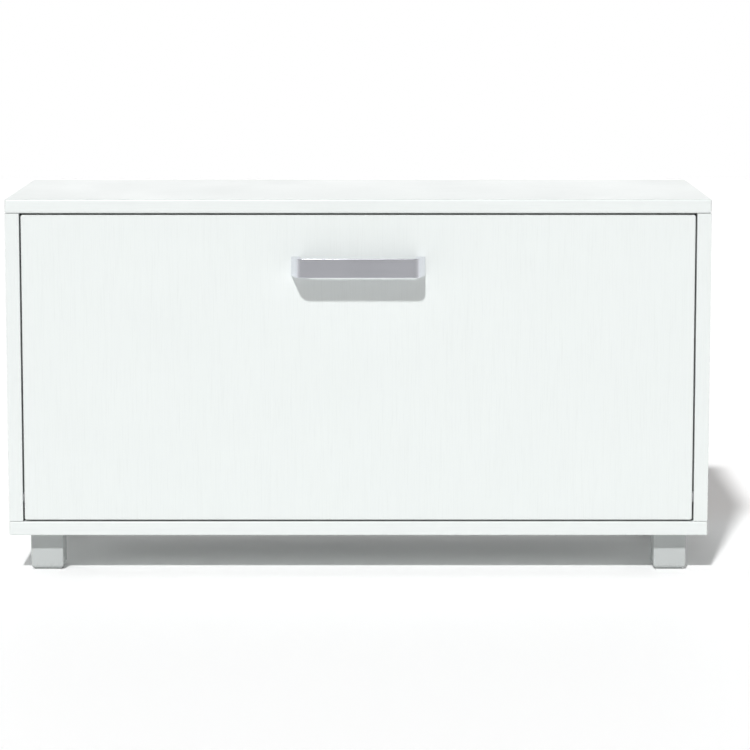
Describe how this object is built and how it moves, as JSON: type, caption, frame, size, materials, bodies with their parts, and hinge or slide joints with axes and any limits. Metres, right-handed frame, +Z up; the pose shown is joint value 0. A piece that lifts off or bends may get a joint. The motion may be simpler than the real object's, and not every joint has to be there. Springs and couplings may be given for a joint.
{
  "type": "entryway bench",
  "caption": "Low white entryway bench on square silver feet, with an inset flap and a bow handle that tilts out with a sloping shoe tray.",
  "frame": {"origin": "on the floor, under the middle of the whole bench with its handle", "axes": "+X to the right of somebody facing the flap, +Y from the flap to the back, +Z up"},
  "size_m": [0.8, 0.3299, 0.43],
  "materials": {
    "white_board": "white melamine board, satin",
    "hardboard": "thin white-faced hardboard",
    "satin_silver": "satin silver",
    "silver_grey_foot": "silver-grey, matt",
    "glide_plastic": "grey, matt",
    "zinc_steel": "zinc plated",
    "die_cast_zinc": "bare die casting",
    "grey_nylon": "moulded nylon",
    "white_plastic": "moulded, fine grained",
    "dark_magnet": "sintered magnet",
    "beech": "bare beech"
  },
  "bodies": {
    "carcass": {"back_panel": "hardboard", "bottom_panel": "white_board", "cam_bolt_left_bottom_front": "zinc_steel", "cam_bolt_left_bottom_rear": "zinc_steel", "cam_bolt_left_top_front": "zinc_steel", "cam_bolt_left_top_rear": "zinc_steel", "cam_bolt_right_bottom_front": "zinc_steel", "cam_bolt_right_bottom_rear": "zinc_steel", "cam_bolt_right_top_front": "zinc_steel", "cam_bolt_right_top_rear": "zinc_steel", "cam_nut_left_bottom_front": "die_cast_zinc", "cam_nut_left_bottom_rear": "die_cast_zinc", "cam_nut_left_top_front": "die_cast_zinc", "cam_nut_left_top_rear": "die_cast_zinc", "cam_nut_right_bottom_front": "die_cast_zinc", "cam_nut_right_bottom_rear": "die_cast_zinc", "cam_nut_right_top_front": "die_cast_zinc", "cam_nut_right_top_rear": "die_cast_zinc", "catch_housing": "white_plastic", "catch_magnet": "dark_magnet", "catch_screw_left": "zinc_steel", "catch_screw_right": "zinc_steel", "foot_front_left": "silver_grey_foot", "foot_front_right": "silver_grey_foot", "foot_rear_left": "silver_grey_foot", "foot_rear_right": "silver_grey_foot", "foot_screw_front_left": "zinc_steel", "foot_screw_front_right": "zinc_steel", "foot_screw_rear_left": "zinc_steel", "foot_screw_rear_right": "zinc_steel", "glide_front_left": "glide_plastic", "glide_front_right": "glide_plastic", "glide_rear_left": "glide_plastic", "glide_rear_right": "glide_plastic", "left_side_panel": "white_board", "pivot_bush_left": "grey_nylon", "pivot_bush_right": "grey_nylon", "rail_dowel_left": "beech", "rail_dowel_right": "beech", "rear_rail": "white_board", "right_side_panel": "white_board", "stop_peg_left": "zinc_steel", "stop_peg_right": "zinc_steel", "top_panel": "white_board"},
    "flap": {"bracket_screw_left_lower": "zinc_steel", "bracket_screw_left_upper": "zinc_steel", "bracket_screw_right_lower": "zinc_steel", "bracket_screw_right_upper": "zinc_steel", "flap_panel": "white_board", "handle": "satin_silver", "handle_screw_left": "zinc_steel", "handle_screw_right": "zinc_steel", "lower_shoe_board": "white_board", "pivot_pin_left": "zinc_steel", "pivot_pin_right": "zinc_steel", "shoe_fence": "white_board", "strike_plate": "zinc_steel", "swing_bracket_left": "white_plastic", "swing_bracket_right": "white_plastic", "upper_shoe_board": "white_board"}
  },
  "joints": [
    {"name": "flap_tilt", "type": "hinge", "parent": "carcass", "child": "flap", "pos_m": [0, -0.127, 0.087], "axis": [1, 0, 0], "range_deg": [0, 55]}
  ]
}
